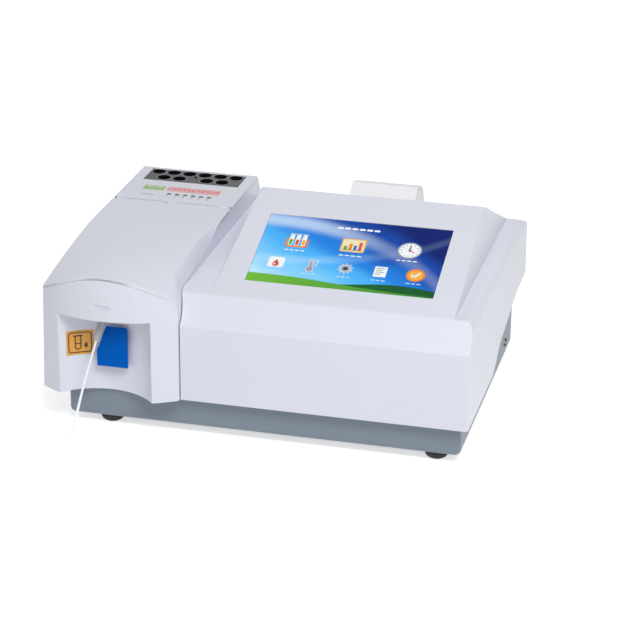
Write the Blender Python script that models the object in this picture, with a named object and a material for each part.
"""Benchtop chemistry analyzer: flow cell and tube incubator in the tower, touch screen and strip printer beside it.

X runs to the right, Y to the back and Z up, in metres. Pieces are drawn from the middle of the base tray at floor
level. An empty then carries them, so that the middle of the whole footprint at floor level is the origin.
"""

import math

import bmesh
import bpy
from mathutils import Matrix, Vector

for leftover in list(bpy.data.objects):
    bpy.data.objects.remove(leftover, do_unlink=True)

# Clearances and stock
GAP = 0.0003
OVERRUN = 0.002
WALL = 0.0025
STEEL = 0.002
BOARD = 0.0016
PIN_RADIUS = 0.001
SHARP_ANGLE = math.radians(32)

# Base tray and feet
FOOT_HEIGHT = 0.0076
BASE_HALF_WIDTH = 0.1643
BASE_HALF_DEPTH = 0.1189
BASE_EDGE_RADIUS = 0.0045
COVER_LIP = 0.008

# Lower edge of both covers: level in front, then rising to the back
EDGE_FRONT_Z = 0.0341
EDGE_REAR_Z = 0.0658
EDGE_RISE_Y = -0.014
REAR_Y = 0.148
EDGE_SHARES = ((0, 0), (0.09, 0.17), (0.2, 0.48), (0.29, 0.58), (0.42, 0.69), (0.53, 0.82), (0.69, 0.94), (1, 1))

# Housing: deck, front bevel, console with the sloped screen panel
HOUSING_RIGHT = 0.1716
HOUSING_DRAFT = 0.0012
HOUSING_FRONT_Y = -0.1263
BEVEL_FOOT_Z = 0.0986
DECK_Z = 0.1198
DECK_FRONT_Y = -0.1042
DECK_EDGE_RADIUS = 0.0095
LEDGE_FALL = 0.0008
HOUSING_CORNER_RADIUS = 0.003
CREST_Y = 0.031
CREST_Z = 0.166
REAR_SHOULDER_Z = 0.113
CONSOLE_LEFT_FOOT = -0.0456
CONSOLE_LEFT_TOP = -0.040
CONSOLE_RIGHT_FOOT = 0.154
CONSOLE_RIGHT_TOP = 0.1515

# Seam between tower and housing, seen from above
SEAM_FRONT_X = -0.0652
SEAM_FRONT_GROOVE = 0.0008
SEAM_REAR_X = -0.0717
SEAM_BEND_FRONT_Y = -0.122
SEAM_BEND_REAR_Y = -0.093

# Tower
TOWER_LEFT_FLOOR = -0.1831
TOWER_LEFT_TOP = -0.1785
TOP_Z = 0.138
TOWER_SHOULDER_Z = 0.112
TOWER_TOP_REAR_Y = 0.133
BOW_CENTRE_X = -0.1235
BOW_CENTRE_Y = -0.047
BOW_RADIUS = 0.100
DOME_START_Y = -0.005
DOME_REACH = 0.125
DOME_RISE = 0.0037
DOME_FALL = 0.0188
DOME_HALF_WIDTH = 0.057
HOOD_EDGE_WIDTH = 0.008
HOOD_EDGE_START_Y = 0.020
HOOD_EDGE_MIDDLE = (-0.030, 0.1268)
HOOD_EDGE_FRONT = (-0.1274, 0.1190)
HOOD_BEND_SHARE = 0.75
HOOD_COLUMNS = 12
HOOD_EDGE_COLUMNS = 4
RECESS_CENTRE_X = -0.1255
RECESS_CENTRE_Y = -0.1733
RECESS_RADIUS = 0.0523
BROW_Z = 0.1045

# Hood hinge: knuckles of the hood and of the incubator cover share one pin
HINGE_Y = 0.0464
HINGE_DROP = 0.0023
KNUCKLE_RADIUS = 0.0021
KNUCKLE_LENGTH = 0.008

# Incubator
WELL_RADIUS = 0.0061
WELL_PITCH = 0.0144
WELL_DEPTH = 0.032
BLOCK_X = -0.12495
BLOCK_Y = 0.11405
BLOCK_HALF_WIDTH = 0.04345
BLOCK_HALF_DEPTH = 0.01455
BLOCK_HEIGHT = 0.036
WELL_ROW_STEP = 0.014

# Screen
GLASS_WIDTH = 0.1546
GLASS_HEIGHT = 0.0865
GLASS_THICK = 0.0024
GLASS_RECESS = 0.0004
SCREEN_X = 0.0546
SCREEN_UP_SLOPE = 0.0651

# Printer on the roof behind the crest
PRINTER_LEFT = 0.0355
PRINTER_WIDTH = 0.0565
HUMP_FRONT_STEP = 0.002
HUMP_DEPTH = 0.0465
HUMP_RISE = 0.0063
BIN_DEPTH = 0.060

# Aspirate key and probe
KEY_FRONT_Y = -0.1285
KEY_THICK = 0.0025
KEY_TOP_Z = 0.092
KEY_FOOT_Z = 0.0575
KEY_RIGHT_X = -0.1094
KEY_TOP_WIDTH = 0.0179
KEY_FOOT_WIDTH = 0.0258
KEY_BEVEL_HEIGHT = 0.0048
KEY_BEVEL_DEPTH = 0.0015
PROBE_RADIUS = 0.001
PROBE_TIP = Vector((-0.1473, -0.165, 0.0032))
PROBE_TOP = Vector((-0.1246, -0.1272, 0.1135))
PROBE_BOW = 0.0034

PIECES = []


def material(name, red, green, blue, roughness, metallic=0.0):
    """A plain surface from sRGB shares of red, green and blue."""
    made = bpy.data.materials.new(name)
    made.use_nodes = True
    shader = made.node_tree.nodes["Principled BSDF"]
    colour = [((c + 0.055) / 1.055) ** 2.4 for c in (red, green, blue)]
    shader.inputs["Base Color"].default_value = (*colour, 1.0)
    shader.inputs["Roughness"].default_value = roughness
    shader.inputs["Metallic"].default_value = metallic
    return made


WHITE = material("white_moulding", 0.87, 0.88, 0.91, 0.4)
SLATE = material("slate_paint", 0.49, 0.54, 0.59, 0.5)
RUBBER = material("black_rubber", 0.06, 0.06, 0.07, 0.8)
BLACK = material("black_moulding", 0.08, 0.08, 0.09, 0.5)
DARK_PLATE = material("dark_anodised", 0.33, 0.33, 0.35, 0.45, 0.6)
BLUE = material("blue_moulding", 0.0, 0.38, 0.72, 0.35)
GLASS = material("screen_glass", 0.1, 0.3, 0.6, 0.1)
STEEL_SURFACE = material("plain_steel", 0.68, 0.69, 0.7, 0.35, 1.0)
ALUMINIUM = material("plain_aluminium", 0.78, 0.79, 0.8, 0.4, 1.0)
GREEN_BOARD = material("green_board", 0.05, 0.33, 0.16, 0.5)
ORANGE = material("orange_heater", 0.8, 0.4, 0.1, 0.5)
PAPER = material("white_paper", 0.94, 0.94, 0.92, 0.8)
CLEAR = material("clear_glass", 0.85, 0.9, 0.92, 0.05)
GREY = material("grey_moulding", 0.55, 0.56, 0.58, 0.5)


def solid(bm):
    """A mesh object from a bmesh, with its faces turned outwards."""
    bmesh.ops.recalc_face_normals(bm, faces=bm.faces)
    mesh = bpy.data.meshes.new("shape")
    bm.to_mesh(mesh)
    bm.free()
    made = bpy.data.objects.new("shape", mesh)
    bpy.context.scene.collection.objects.link(made)
    return made


def prism(outline, axis, low, high):
    """Outline run along an axis: its points are (y, z) along X, (x, z) along Y and (x, y) along Z."""
    bm = bmesh.new()
    rings = []
    for along in (low, high):
        spots = {
            "X": [(along, a, b) for a, b in outline],
            "Y": [(a, along, b) for a, b in outline],
            "Z": [(a, b, along) for a, b in outline],
        }[axis]
        rings.append([bm.verts.new(spot) for spot in spots])
    bm.faces.new(rings[0])
    bm.faces.new(rings[1])
    for here in range(len(outline)):
        after = (here + 1) % len(outline)
        bm.faces.new((rings[0][here], rings[0][after], rings[1][after], rings[1][here]))
    return solid(bm)


def box(x_range, y_range, z_range):
    x0, x1 = x_range
    y0, y1 = y_range
    return prism([(x0, y0), (x1, y0), (x1, y1), (x0, y1)], "Z", *z_range)


def around(centre, half):
    """The range that reaches half to either side of a centre."""
    return centre - half, centre + half


def circle(centre, radius, sides, start=0.0):
    turn = [start + math.tau * step / sides for step in range(sides)]
    return [(centre[0] + radius * math.cos(a), centre[1] + radius * math.sin(a)) for a in turn]


def arc(centre, radius, start, end, steps):
    turn = [start + (end - start) * step / steps for step in range(steps + 1)]
    return [(centre[0] + radius * math.cos(a), centre[1] + radius * math.sin(a)) for a in turn]


def rod(axis, centre, radius, low, high, sides=16):
    return prism(circle(centre, radius, sides), axis, low, high)


def turned(profile, sides=24):
    """Profile of (radius, height) points turned about Z, closed on the axis at both ends."""
    bm = bmesh.new()
    rings = []
    for radius, height in profile:
        if radius:
            rings.append([bm.verts.new((x, y, height)) for x, y in circle((0, 0), radius, sides)])
        else:
            rings.append([bm.verts.new((0, 0, height))] * sides)
    for upper, lower in zip(rings, rings[1:]):
        for here in range(sides):
            after = (here + 1) % sides
            corners = dict.fromkeys((upper[here], upper[after], lower[after], lower[here]))
            if len(corners) > 2:
                bm.faces.new(list(corners))
    return solid(bm)


def moved(shape, matrix):
    shape.data.transform(matrix)
    return shape


def boolean(target, tool, operation):
    """Applies the tool to the target and removes the tool."""
    step = target.modifiers.new(operation, "BOOLEAN")
    step.operation = operation
    step.object = tool
    graph = bpy.context.evaluated_depsgraph_get()
    result = bpy.data.meshes.new_from_object(target.evaluated_get(graph), depsgraph=graph)
    target.modifiers.remove(step)
    target.data = result
    bpy.data.objects.remove(tool, do_unlink=True)
    return target


def cut(target, *tools):
    for tool in tools:
        boolean(target, tool, "DIFFERENCE")
    return target


def fuse(target, *tools):
    for tool in tools:
        boolean(target, tool, "UNION")
    return target


def common(target, *tools):
    for tool in tools:
        boolean(target, tool, "INTERSECT")
    return target


def round_edges(shape, chosen, radius, steps):
    """Rounds the edges for which chosen(edge) is true."""
    bm = bmesh.new()
    bm.from_mesh(shape.data)
    edges = [edge for edge in bm.edges if chosen(edge)]
    bmesh.ops.bevel(bm, geom=edges, offset=radius, segments=steps, profile=0.5, affect="EDGES")
    bm.to_mesh(shape.data)
    bm.free()
    return shape


def inset(outline, depth):
    """The outline moved inwards by depth on every side."""
    points = [Vector(point) for point in outline]
    area = sum(p.cross(q) for p, q in zip(points, points[1:] + points[:1]))
    turn = math.copysign(1, area)
    result = []
    for before, here, after in zip(points[-1:] + points[:-1], points, points[1:] + points[:1]):
        first = (here - before).normalized()
        second = (after - here).normalized()
        first = Vector((-first.y, first.x)) * turn
        second = Vector((-second.y, second.x)) * turn
        result.append(tuple(here + (first + second) * (depth / (1 + first.dot(second)))))
    return result


def node(shape, name, surface, pivot=None):
    """Makes a shape one of the analyzer's pieces. A moving piece has its pivot as its origin."""
    shape.name = name
    shape.data.name = name
    shape.data.materials.clear()
    shape.data.materials.append(surface)
    shape.data.shade_smooth()
    shape.data.set_sharp_from_angle(angle=SHARP_ANGLE)
    if pivot is not None:
        shape.data.transform(Matrix.Translation(-Vector(pivot)))
        shape.location = pivot
    PIECES.append(shape)
    return shape


def edge_z(y):
    """Height of the covers' lower edge at depth y."""
    share = (y - EDGE_RISE_Y) / (REAR_Y - EDGE_RISE_Y)
    for (low, low_rise), (high, high_rise) in zip(EDGE_SHARES, EDGE_SHARES[1:]):
        if low <= share <= high:
            rise = low_rise + (high_rise - low_rise) * (share - low) / (high - low)
            return EDGE_FRONT_Z + rise * (EDGE_REAR_Z - EDGE_FRONT_Z)
    return EDGE_FRONT_Z if share < 0 else EDGE_REAR_Z


def edge_knots(last_y):
    """Depths at which the lower edge bends, from front to back, up to last_y."""
    knots = [EDGE_RISE_Y + share * (REAR_Y - EDGE_RISE_Y) for share, rise in EDGE_SHARES]
    return [y for y in knots if y < last_y]


# Base tray: folded steel, open at the top and the back
TRAY_FLOOR_Z = FOOT_HEIGHT + STEEL


def base_tray():
    knots = edge_knots(BASE_HALF_DEPTH) + [BASE_HALF_DEPTH]
    top = [(y, edge_z(y) - GAP) for y in [-BASE_HALF_DEPTH] + knots]
    outline = [(-BASE_HALF_DEPTH, FOOT_HEIGHT)] + top + [(BASE_HALF_DEPTH, FOOT_HEIGHT)]
    tray = prism(outline, "X", -BASE_HALF_WIDTH, BASE_HALF_WIDTH)

    def bottom_or_corner(edge):
        a, b = (vert.co for vert in edge.verts)
        low = max(a.z, b.z) < FOOT_HEIGHT + GAP
        upright = abs(a.y - b.y) + abs(a.x - b.x) < GAP and max(a.y, b.y) < 0
        return low or upright

    round_edges(tray, bottom_or_corner, BASE_EDGE_RADIUS, 3)
    inner_half = BASE_HALF_WIDTH - STEEL
    hollow_y = (STEEL - BASE_HALF_DEPTH, BASE_HALF_DEPTH + OVERRUN)
    cut(tray, box((-inner_half, inner_half), hollow_y, (TRAY_FLOOR_Z, EDGE_REAR_Z + OVERRUN)))
    node(tray, "base_tray", SLATE)


# Feet: rubber, domed down to a small flat
FOOT_RADIUS = 0.010
FOOT_FLAT_RADIUS = 0.0048
FOOT_LEFT_INSET = 0.0333
FOOT_RIGHT_INSET = 0.0213
FOOT_INSET_Y = 0.014


def feet():
    top = FOOT_HEIGHT - GAP
    dome = arc((FOOT_FLAT_RADIUS, FOOT_RADIUS - FOOT_FLAT_RADIUS), FOOT_RADIUS - FOOT_FLAT_RADIUS, 0, -math.pi / 2, 4)
    left_x = FOOT_LEFT_INSET - BASE_HALF_WIDTH
    right_x = BASE_HALF_WIDTH - FOOT_RIGHT_INSET
    for side, x in (("left", left_x), ("right", right_x)):
        for end, facing in (("front", -1), ("rear", 1)):
            foot = turned([(0, top), (FOOT_RADIUS, top)] + dome + [(0, 0)], 20)
            y = facing * (BASE_HALF_DEPTH - FOOT_INSET_Y)
            node(moved(foot, Matrix.Translation((x, y, 0))), f"rubber_foot_{end}_{side}", RUBBER)


def seam_x(y, front_x, rear_x):
    """The seam's smooth step from its front line to its rear line."""
    share = (y - SEAM_BEND_FRONT_Y) / (SEAM_BEND_REAR_Y - SEAM_BEND_FRONT_Y)
    share = min(max(share, 0), 1)
    return front_x + (rear_x - front_x) * share * share * (3 - 2 * share)


def seam_line(front_y, front_x, rear_x, steps=6):
    """Plan points of one side of the seam, from the front to REAR_Y."""
    reach = SEAM_BEND_REAR_Y - SEAM_BEND_FRONT_Y
    bend = [SEAM_BEND_FRONT_Y + reach * step / steps for step in range(steps + 1)]
    return [(seam_x(y, front_x, rear_x), y) for y in [front_y] + bend + [REAR_Y]]


def lower_edge_outline():
    """Side view of the lower edge, from the back to where it levels out."""
    return [(y, edge_z(y)) for y in reversed(edge_knots(REAR_Y))]


# Housing shell: one moulding, closed underneath by a skin that sits on the tray's walls
SCREEN_SLOPE = math.atan2(CREST_Z - DECK_Z, CREST_Y - DECK_FRONT_Y)
SCREEN_PLACE = Matrix.Translation((SCREEN_X, DECK_FRONT_Y, DECK_Z)) @ Matrix.Rotation(SCREEN_SLOPE, 4, "X")
SCREEN_PLACE = SCREEN_PLACE @ Matrix.Translation((0, SCREEN_UP_SLOPE, 0))
ROOF_FALL = (CREST_Z - REAR_SHOULDER_Z) / (REAR_Y - CREST_Y)
HOUSING_TOP = CREST_Z + 2 * WALL


def console_side(foot, top, z):
    return foot + (top - foot) * (z - DECK_Z) / (CREST_Z - DECK_Z)


def housing_solid(depth):
    """The housing's outer form, or its hollow when depth is the wall's thickness."""
    right_at_deck = HOUSING_RIGHT - HOUSING_DRAFT
    far_left = SEAM_REAR_X - 2 * WALL
    corner = (right_at_deck - DECK_EDGE_RADIUS, DECK_Z - DECK_EDGE_RADIUS)
    section = [
        (far_left, 0),
        (far_left, DECK_Z),
        (CONSOLE_LEFT_FOOT, DECK_Z),
        (console_side(CONSOLE_LEFT_FOOT, CONSOLE_LEFT_TOP, HOUSING_TOP), HOUSING_TOP),
        (console_side(CONSOLE_RIGHT_FOOT, CONSOLE_RIGHT_TOP, HOUSING_TOP), HOUSING_TOP),
        (CONSOLE_RIGHT_FOOT, DECK_Z - LEDGE_FALL),
        *arc(corner, DECK_EDGE_RADIUS, math.pi / 2, 0, 5),
        (HOUSING_RIGHT, 0),
    ]
    profile = [
        (HOUSING_FRONT_Y, EDGE_FRONT_Z),
        (HOUSING_FRONT_Y, BEVEL_FOOT_Z),
        (DECK_FRONT_Y, DECK_Z),
        (CREST_Y, CREST_Z),
        (REAR_Y, REAR_SHOULDER_Z),
        (REAR_Y, EDGE_REAR_Z),
        *lower_edge_outline(),
    ]
    rounding = (HOUSING_RIGHT - HOUSING_CORNER_RADIUS, HOUSING_FRONT_Y + HOUSING_CORNER_RADIUS)
    plan = [
        *seam_line(HOUSING_FRONT_Y, SEAM_FRONT_X, SEAM_REAR_X),
        (HOUSING_RIGHT, REAR_Y),
        *arc(rounding, HOUSING_CORNER_RADIUS, 0, -math.pi / 2, 3),
    ]
    form = prism(inset(profile, depth), "X", far_left, HOUSING_RIGHT + OVERRUN)
    across = prism(inset(section, depth), "Y", HOUSING_FRONT_Y - OVERRUN, REAR_Y + OVERRUN)
    return common(form, across, prism(inset(plan, depth), "Z", 0, HOUSING_TOP + OVERRUN))


def housing_shell():
    shell = cut(housing_solid(0), housing_solid(WALL))
    opening_x = (SEAM_REAR_X + WALL + COVER_LIP, BASE_HALF_WIDTH - COVER_LIP)
    opening_y = around(0, BASE_HALF_DEPTH - COVER_LIP)
    cut(shell, box(opening_x, opening_y, (0, EDGE_REAR_Z + WALL + OVERRUN)))
    window = box(around(0, GLASS_WIDTH / 2 + GAP), around(0, GLASS_HEIGHT / 2 + GAP), around(0, 2 * WALL))
    cut(shell, moved(window, SCREEN_PLACE))
    roof_x = (PRINTER_LEFT - GAP, PRINTER_LEFT + PRINTER_WIDTH + GAP)
    roof_y = (CREST_Y + HUMP_FRONT_STEP - GAP, CREST_Y + HUMP_DEPTH + GAP)
    cut(shell, box(roof_x, roof_y, (DECK_Z, CREST_Z + OVERRUN)))
    node(shell, "housing_shell", WHITE)


# Screen: glass flush in the panel, display module behind it, bracket with turned-up sides
MODULE_HALF_WIDTH = 0.0825
MODULE_HALF_HEIGHT = 0.050
MODULE_THICK = 0.0057
BRACKET_MARGIN = 0.0055


def screen_pieces():
    glass_top = -GLASS_RECESS
    glass_back = glass_top - GLASS_THICK
    glass = box(around(0, GLASS_WIDTH / 2), around(0, GLASS_HEIGHT / 2), (glass_back, glass_top))
    node(glass, "touch_glass", GLASS).matrix_world = SCREEN_PLACE
    module_top = min(glass_back, -WALL) - GAP
    module_back = module_top - MODULE_THICK
    module = box(around(0, MODULE_HALF_WIDTH), around(0, MODULE_HALF_HEIGHT), (module_back, module_top))
    node(module, "lcd_module", BLACK).matrix_world = SCREEN_PLACE
    outer = MODULE_HALF_WIDTH + BRACKET_MARGIN
    inner = outer - STEEL
    tip = -WALL - GAP
    floor = module_back - GAP
    back = floor - STEEL
    channel = [(-outer, back), (-outer, tip), (-inner, tip), (-inner, floor)]
    channel += [(inner, floor), (inner, tip), (outer, tip), (outer, back)]
    bracket = prism(channel, "Y", *around(0, MODULE_HALF_HEIGHT))
    node(bracket, "screen_bracket", STEEL_SURFACE).matrix_world = SCREEN_PLACE


# Tower: drafted left side, bowed front, hollow recess below the brow, open top
def dome_z(x, y):
    """Height of the tower's top surface."""
    forward = max(DOME_START_Y - y, 0) / DOME_REACH
    side = (x - BOW_CENTRE_X) / DOME_HALF_WIDTH
    return TOP_Z + forward**1.5 * (DOME_RISE - DOME_FALL * side * side)


def hood_z(x, y):
    """Height of the hood: the dome, rounded down to the housing's deck along its right edge."""
    (middle_y, middle_z), (front_y, front_z) = HOOD_EDGE_MIDDLE, HOOD_EDGE_FRONT
    right = seam_x(y, TOWER_SEAM_FRONT_X, TOWER_SEAM_REAR_X)
    edge = middle_z + (front_z - middle_z) * (y - middle_y) / (front_y - middle_y)
    grown = min(max((HOOD_EDGE_START_Y - y) / (HOOD_EDGE_START_Y - middle_y), 0), 1)
    outward = min(max(1 - (right - x) / HOOD_EDGE_WIDTH, 0), 1)
    return dome_z(x, y) - (dome_z(right, y) - edge) * grown * grown * (3 - 2 * grown) * outward * outward


def tower_left(z):
    return TOWER_LEFT_FLOOR + (TOWER_LEFT_TOP - TOWER_LEFT_FLOOR) * z / TOP_Z


def bow_y(x):
    return BOW_CENTRE_Y - math.sqrt(BOW_RADIUS**2 - (x - BOW_CENTRE_X) ** 2)


TOWER_SEAM_FRONT_X = SEAM_FRONT_X - SEAM_FRONT_GROOVE
TOWER_SEAM_REAR_X = SEAM_REAR_X - GAP
TOWER_CEILING = TOP_Z + DOME_RISE + 4 * WALL
COVER_LIP_X = TOWER_SEAM_REAR_X - WALL - COVER_LIP


def tower_solid(depth):
    """The tower's outer form with a raw top, or its hollow when depth is the wall's thickness."""
    far_right = TOWER_SEAM_FRONT_X + 2 * WALL
    section = [
        (tower_left(0), 0),
        (tower_left(TOWER_CEILING), TOWER_CEILING),
        (far_right, TOWER_CEILING),
        (far_right, 0),
    ]
    slant = (REAR_Y - TOWER_TOP_REAR_Y) / (TOP_Z - TOWER_SHOULDER_Z)
    far_front = BOW_CENTRE_Y - BOW_RADIUS - 2 * WALL
    profile = [
        (far_front, EDGE_FRONT_Z),
        (far_front, TOWER_CEILING),
        (REAR_Y - slant * (TOWER_CEILING - TOWER_SHOULDER_Z), TOWER_CEILING),
        (REAR_Y, TOWER_SHOULDER_Z),
        (REAR_Y, EDGE_REAR_Z),
        *lower_edge_outline(),
    ]
    start = math.atan2(bow_y(TOWER_LEFT_FLOOR) - BOW_CENTRE_Y, TOWER_LEFT_FLOOR - BOW_CENTRE_X)
    end = math.atan2(bow_y(TOWER_SEAM_FRONT_X) - BOW_CENTRE_Y, TOWER_SEAM_FRONT_X - BOW_CENTRE_X)
    bow = arc((BOW_CENTRE_X, BOW_CENTRE_Y), BOW_RADIUS, start, end, 16)
    front_y = bow_y(TOWER_SEAM_FRONT_X)
    plan = [*bow, *seam_line(front_y, TOWER_SEAM_FRONT_X, TOWER_SEAM_REAR_X)[1:], (TOWER_LEFT_FLOOR, REAR_Y)]
    form = prism(inset(profile, depth), "X", TOWER_LEFT_FLOOR - OVERRUN, far_right - OVERRUN)
    across = prism(inset(section, depth), "Y", far_front - OVERRUN, REAR_Y + OVERRUN)
    return common(form, across, prism(inset(plan, depth), "Z", 0, TOWER_CEILING + OVERRUN))


def spaced(low, high, steps):
    return [low + (high - low) * step / steps for step in range(steps + 1)]


def slab(rows, thick):
    """A closed slab: rows of points on its upper face, and the same points lower by thick."""
    bm = bmesh.new()
    upper = [[bm.verts.new(point) for point in row] for row in rows]
    lower = [[bm.verts.new((x, y, z - thick)) for x, y, z in row] for row in rows]
    last_row = len(rows) - 1
    last = len(rows[0]) - 1
    for row in range(last_row):
        for column in range(last):
            for level in (upper, lower):
                ends = level[row], level[row + 1]
                bm.faces.new((ends[0][column], ends[0][column + 1], ends[1][column + 1], ends[1][column]))
    rim = [(0, column) for column in range(last)] + [(row, last) for row in range(last_row)]
    rim += [(last_row, column) for column in range(last, 0, -1)] + [(row, 0) for row in range(last_row, 0, -1)]
    for here, after in zip(rim, rim[1:] + rim[:1]):
        a, b = upper[here[0]][here[1]], upper[after[0]][after[1]]
        c, d = lower[after[0]][after[1]], lower[here[0]][here[1]]
        bm.faces.new((a, b, c, d))
    return solid(bm)


def hood_point(back_share, column):
    """A point of the hood's upper face. Its x and y depend on each other, so they settle in a few rounds."""
    y = HINGE_Y
    for _ in range(6):
        right = seam_x(y, TOWER_SEAM_FRONT_X, TOWER_SEAM_REAR_X)
        left = tower_left(dome_z(TOWER_LEFT_TOP, y))
        fold = right - HOOD_EDGE_WIDTH
        x = left + (fold - left) * column / HOOD_COLUMNS
        if column > HOOD_COLUMNS:
            x = fold + HOOD_EDGE_WIDTH * (column - HOOD_COLUMNS) / HOOD_EDGE_COLUMNS
        y = HINGE_Y + back_share * (bow_y(x) - HINGE_Y)
    return x, y, hood_z(x, y)


def hood_rows():
    """Points of the hood's upper face, row by row from the hinge to the bow, closer where the seam bends."""
    shares = spaced(0, HOOD_BEND_SHARE, 10)[:-1] + spaced(HOOD_BEND_SHARE, 1, 7)
    return [[hood_point(share, column) for column in range(HOOD_COLUMNS + HOOD_EDGE_COLUMNS + 1)] for share in shares]


def tower_top_cutter():
    """Everything above the walls' upper edge, which runs below the hood and the incubator cover."""
    reach = 4 * WALL
    lift = TOP_Z - WALL - GAP
    rows = hood_rows()
    rows = [[(x, REAR_Y + reach, z) for x, y, z in rows[0]], *rows, [(x, y - reach, z) for x, y, z in rows[-1]]]
    rows = [[(row[0][0] - reach, *row[0][1:]), *row, (row[-1][0] + reach, *row[-1][1:])] for row in rows]
    return slab([[(x, y, z + lift) for x, y, z in row] for row in rows], TOP_Z)


# Finger notch in the tower's front: a shallow half-moon with a flat ledge below, to lift the hood by
NOTCH_X = -0.125
NOTCH_LEDGE_Z = 0.1146
NOTCH_HALF_WIDTH = 0.010
NOTCH_HEIGHT = 0.0040
NOTCH_DEPTH = 0.0013


def finger_notch():
    profile = [(math.sin(math.pi * step / 8), math.cos(math.pi * step / 8)) for step in range(1, 8)]
    ball = turned([(0, 1), *profile, (0, -1)], 24)
    moved(ball, Matrix.Diagonal((NOTCH_HALF_WIDTH, NOTCH_DEPTH, NOTCH_HEIGHT, 1)))
    moved(ball, Matrix.Translation((NOTCH_X, bow_y(NOTCH_X), NOTCH_LEDGE_Z)))
    reach = NOTCH_HALF_WIDTH + OVERRUN
    upper = box(around(NOTCH_X, reach), around(bow_y(NOTCH_X), reach), (NOTCH_LEDGE_Z, NOTCH_LEDGE_Z + reach))
    return common(ball, upper)


# Key: hangs in the recess on a pin behind its wall, and a tail works the switch above
KEY_PIVOT_Y = -0.1155
KEY_PIVOT_Z = 0.0825
KEY_HUB_RADIUS = 0.003
KEY_HUB_HALF = 0.0050
KEY_HUB_X = -0.1190
KEY_SLOT_MARGIN = 0.0016
LUG_THICK = 0.004
LUG_REACH = 0.0045
KEY_TAIL = 0.007
KEY_TRAVEL_GAP = 0.0006
KEY_NOTCH_SHARE = 0.48
KEY_NOTCH = 0.0016
KEY_LUG_GAP = 0.0006


def recess_wall_y(x):
    """Depth of the recess wall's front face at x."""
    return RECESS_CENTRE_Y + math.sqrt(RECESS_RADIUS**2 - (x - RECESS_CENTRE_X) ** 2)


def tower_shell():
    shell = tower_solid(0)
    hollow = tower_solid(WALL)
    recess = (RECESS_CENTRE_X, RECESS_CENTRE_Y)
    cut(hollow, rod("Z", recess, RECESS_RADIUS + WALL, 0, BROW_Z + WALL, 72))
    cut(shell, rod("Z", recess, RECESS_RADIUS, 0, BROW_Z, 72))
    cut(shell, hollow)
    opening_x = (COVER_LIP - BASE_HALF_WIDTH, COVER_LIP_X)
    opening_y = around(0, BASE_HALF_DEPTH - COVER_LIP)
    cut(shell, box(opening_x, opening_y, (0, EDGE_REAR_Z + WALL + OVERRUN)))
    cut(shell, tower_top_cutter(), finger_notch())
    lug_start = KEY_HUB_HALF + KEY_LUG_GAP
    lug_y = (recess_wall_y(RECESS_CENTRE_X) + WALL / 2 - KEY_NOTCH, KEY_PIVOT_Y + KEY_HUB_RADIUS)
    for facing in (-1, 1):
        lug_x = sorted(KEY_HUB_X + facing * (lug_start + reach) for reach in (0, LUG_THICK))
        fuse(shell, box(lug_x, lug_y, around(KEY_PIVOT_Z, LUG_REACH)))
    pin_half = lug_start + LUG_THICK + OVERRUN
    cut(shell, rod("X", (KEY_PIVOT_Y, KEY_PIVOT_Z), PIN_RADIUS + GAP, *around(KEY_HUB_X, pin_half)))
    slot_x = around(KEY_HUB_X, KEY_HUB_HALF + KEY_LUG_GAP)
    slot_y = (recess_wall_y(KEY_RIGHT_X) - OVERRUN, KEY_PIVOT_Y - KEY_HUB_RADIUS)
    cut(shell, box(slot_x, slot_y, around(KEY_PIVOT_Z, KEY_HUB_RADIUS + KEY_SLOT_MARGIN)))
    probe_hole = probe_tube(PROBE_RADIUS + GAP, 0, GUIDE_END_SHARE)
    cut(shell, probe_hole)
    node(shell, "tower_shell", WHITE)


def aspirate_key():
    right = KEY_RIGHT_X
    notch_z = KEY_FOOT_Z + KEY_NOTCH_SHARE * (KEY_TOP_Z - KEY_FOOT_Z)
    blade = [
        (right, KEY_FOOT_Z),
        (right, KEY_TOP_Z),
        (right - KEY_TOP_WIDTH, KEY_TOP_Z),
        (right - KEY_FOOT_WIDTH + KEY_NOTCH, notch_z),
        (right - KEY_FOOT_WIDTH, notch_z - KEY_NOTCH),
        (right - KEY_FOOT_WIDTH, KEY_FOOT_Z),
    ]
    back_y = KEY_FRONT_Y + KEY_THICK
    side = [
        (KEY_FRONT_Y, KEY_FOOT_Z),
        (KEY_FRONT_Y, KEY_TOP_Z - KEY_BEVEL_HEIGHT),
        (KEY_FRONT_Y + KEY_BEVEL_DEPTH, KEY_TOP_Z),
        (back_y, KEY_TOP_Z),
        (back_y, KEY_FOOT_Z),
    ]
    key = prism(blade, "Y", KEY_FRONT_Y - OVERRUN, back_y + OVERRUN)
    common(key, prism(side, "X", right - KEY_FOOT_WIDTH - OVERRUN, right + OVERRUN))
    hub_x = around(KEY_HUB_X, KEY_HUB_HALF)
    stem_z = around(KEY_PIVOT_Z, KEY_HUB_RADIUS - KEY_NOTCH / 2)
    fuse(key, box(hub_x, (KEY_FRONT_Y + KEY_THICK / 2, KEY_PIVOT_Y), stem_z))
    fuse(key, rod("X", (KEY_PIVOT_Y, KEY_PIVOT_Z), KEY_HUB_RADIUS, *hub_x, 20))
    tail_z = (KEY_PIVOT_Z, KEY_PIVOT_Z + KEY_HUB_RADIUS / 2)
    fuse(key, box(around(KEY_HUB_X, KEY_HUB_HALF / 2), (KEY_PIVOT_Y, KEY_PIVOT_Y + KEY_TAIL), tail_z))
    bore = rod("X", (KEY_PIVOT_Y, KEY_PIVOT_Z), PIN_RADIUS + GAP, *around(KEY_HUB_X, KEY_HUB_HALF + OVERRUN))
    node(cut(key, bore), "aspirate_key", BLUE, (KEY_HUB_X, KEY_PIVOT_Y, KEY_PIVOT_Z))
    pin_half = KEY_HUB_HALF + KEY_LUG_GAP + LUG_THICK
    pin = rod("X", (KEY_PIVOT_Y, KEY_PIVOT_Z), PIN_RADIUS, *around(KEY_HUB_X, pin_half))
    node(pin, "key_pivot_pin", STEEL_SURFACE)


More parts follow.
